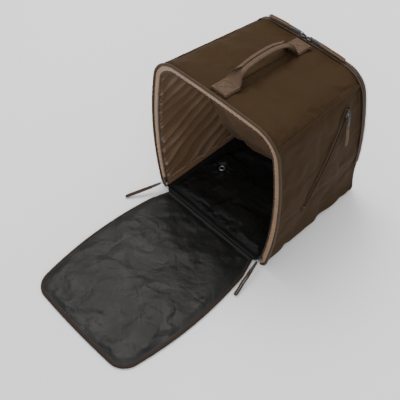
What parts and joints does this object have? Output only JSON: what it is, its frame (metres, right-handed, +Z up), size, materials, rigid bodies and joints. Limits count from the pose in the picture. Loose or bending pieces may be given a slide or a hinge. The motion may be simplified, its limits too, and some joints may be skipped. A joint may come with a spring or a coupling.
{
  "type": "boot bag",
  "caption": "Soft D-section carry bag for a pair of boots; the front end unzips and folds down as a standing mat, the rear panel opens a second pocket",
  "frame": {"origin": "middle of the base panel's underside, on the floor", "axes": "+X to the bag's right seen from its front, -Y out of the front opening, +Z up"},
  "size_m": [0.3466, 0.6402, 0.3859],
  "materials": {
    "shell_fabric": "olive brown coated satin twill",
    "lining_fabric": "lighter brown satin lining",
    "foam": "pale closed-cell foam sheet",
    "board": "black stiffener board",
    "tarpaulin": "black crinkled coated tarpaulin",
    "binding": "brown ribbed edge binding",
    "webbing": "brown woven webbing",
    "zip_tape": "dark brown zip tape with coil",
    "slider_black": "black coated metal and moulded tab",
    "eyelet_metal": "nickel plated"
  },
  "bodies": {
    "bag_shell": {"side_panel_left": "shell_fabric", "side_panel_right": "shell_fabric", "top_panel_left": "shell_fabric", "top_panel_right": "shell_fabric", "back_panel": "shell_fabric", "base_panel": "shell_fabric", "side_lining_left": "lining_fabric", "side_lining_right": "lining_fabric", "top_lining_left": "lining_fabric", "top_lining_right": "lining_fabric", "back_lining": "lining_fabric", "inner_partition": "lining_fabric", "front_facing": "lining_fabric", "pocket_bag_left": "lining_fabric", "pocket_bag_right": "lining_fabric", "side_foam_left": "foam", "side_foam_right": "foam", "top_foam_left": "foam", "top_foam_right": "foam", "back_foam": "foam", "base_stiffener": "board", "floor_liner": "tarpaulin", "flap_hinge_strip": "tarpaulin", "front_piping": "binding", "handle_webbing": "webbing", "handle_patch_front": "webbing", "handle_patch_rear": "webbing", "front_zip_body_half": "zip_tape", "rear_zip_body_half": "zip_tape", "pocket_zip_left": "zip_tape", "pocket_zip_right": "zip_tape", "drain_eyelet_left": "eyelet_metal", "drain_eyelet_right": "eyelet_metal"},
    "front_flap": {"flap_panel": "shell_fabric", "flap_board": "board", "flap_liner": "tarpaulin", "flap_binding": "binding", "front_zip_flap_half": "zip_tape"},
    "rear_flap": {"rear_flap_panel": "shell_fabric", "rear_flap_foam": "foam", "rear_flap_lining": "lining_fabric", "rear_zip_flap_half": "zip_tape"},
    "front_left_slider_body": {"front_left_slider": "slider_black"},
    "front_left_pull_body": {"front_left_pull_tab": "slider_black", "front_left_pull_loop": "webbing"},
    "front_right_slider_body": {"front_right_slider": "slider_black"},
    "front_right_pull_body": {"front_right_pull_tab": "slider_black", "front_right_pull_loop": "webbing"},
    "rear_left_slider_body": {"rear_left_slider": "slider_black"},
    "rear_left_pull_body": {"rear_left_pull_tab": "slider_black", "rear_left_pull_loop": "webbing"},
    "rear_right_slider_body": {"rear_right_slider": "slider_black"},
    "rear_right_pull_body": {"rear_right_pull_tab": "slider_black", "rear_right_pull_loop": "webbing"},
    "pocket_left_slider_body": {"pocket_left_slider": "slider_black"},
    "pocket_left_pull_body": {"pocket_left_pull_tab": "slider_black", "pocket_left_pull_loop": "webbing"},
    "pocket_right_slider_body": {"pocket_right_slider": "slider_black"},
    "pocket_right_pull_body": {"pocket_right_pull_tab": "slider_black", "pocket_right_pull_loop": "webbing"}
  },
  "joints": [
    {"name": "front_flap_hinge", "type": "hinge", "parent": "bag_shell", "child": "front_flap", "pos_m": [0, -0.1485, 0.006], "axis": [-1, 0, 0], "range_deg": [0, 90]},
    {"name": "rear_flap_hinge", "type": "hinge", "parent": "bag_shell", "child": "rear_flap", "pos_m": [0, 0.13614, 0.0998], "axis": [-1, 0, 0], "range_deg": [0, 100]},
    {"name": "front_left_slider_travel", "type": "hinge", "parent": "bag_shell", "child": "front_left_slider_body", "pos_m": [0.5825, -0.1439, 0.17], "axis": [0, 1, 0], "range_deg": [0, 20.9]},
    {"name": "front_left_pull_swing", "type": "hinge", "parent": "front_left_slider_body", "child": "front_left_pull_body", "pos_m": [-0.13837, -0.1521, 0.02204], "axis": [-0.8988, 0.4384, 0], "range_deg": [0, 85]},
    {"name": "rear_left_slider_travel", "type": "slide", "parent": "bag_shell", "child": "rear_left_slider_body", "axis": [-1, 0, 0], "range_m": [0, 0.07]},
    {"name": "rear_left_pull_swing", "type": "hinge", "parent": "rear_left_slider_body", "child": "rear_left_pull_body", "pos_m": [-0.0165, 0.10577, 0.34287], "axis": [0, 1, 0], "range_deg": [0, 120]},
    {"name": "pocket_left_slider_travel", "type": "hinge", "parent": "bag_shell", "child": "pocket_left_slider_body", "pos_m": [0.87526, -0.0613, 0.12899], "axis": [0, -0.8141, 0.5808], "range_deg": [0, 10.2]},
    {"name": "pocket_left_pull_swing", "type": "hinge", "parent": "pocket_left_slider_body", "child": "pocket_left_pull_body", "pos_m": [-0.14966, 0.05052, 0.28572], "axis": [0, 1, 0], "range_deg": [0, 150]},
    {"name": "front_right_slider_travel", "type": "hinge", "parent": "bag_shell", "child": "front_right_slider_body", "pos_m": [-0.5825, -0.1439, 0.17], "axis": [0, -1, 0], "range_deg": [0, 20.9]},
    {"name": "front_right_pull_swing", "type": "hinge", "parent": "front_right_slider_body", "child": "front_right_pull_body", "pos_m": [0.13837, -0.1521, 0.02204], "axis": [-0.9816, -0.1908, 0], "range_deg": [0, 85]},
    {"name": "rear_right_slider_travel", "type": "slide", "parent": "bag_shell", "child": "rear_right_slider_body", "axis": [1, 0, 0], "range_m": [0, 0.08]},
    {"name": "rear_right_pull_swing", "type": "hinge", "parent": "rear_right_slider_body", "child": "rear_right_pull_body", "pos_m": [0.0025, 0.10577, 0.34292], "axis": [0, -1, 0], "range_deg": [0, 120]},
    {"name": "pocket_right_slider_travel", "type": "hinge", "parent": "bag_shell", "child": "pocket_right_slider_body", "pos_m": [-0.87526, -0.0613, 0.12899], "axis": [0, 0.8141, -0.5808], "range_deg": [0, 10.2]},
    {"name": "pocket_right_pull_swing", "type": "hinge", "parent": "pocket_right_slider_body", "child": "pocket_right_pull_body", "pos_m": [0.14966, 0.05052, 0.28572], "axis": [0, -1, 0], "range_deg": [0, 150]}
  ]
}
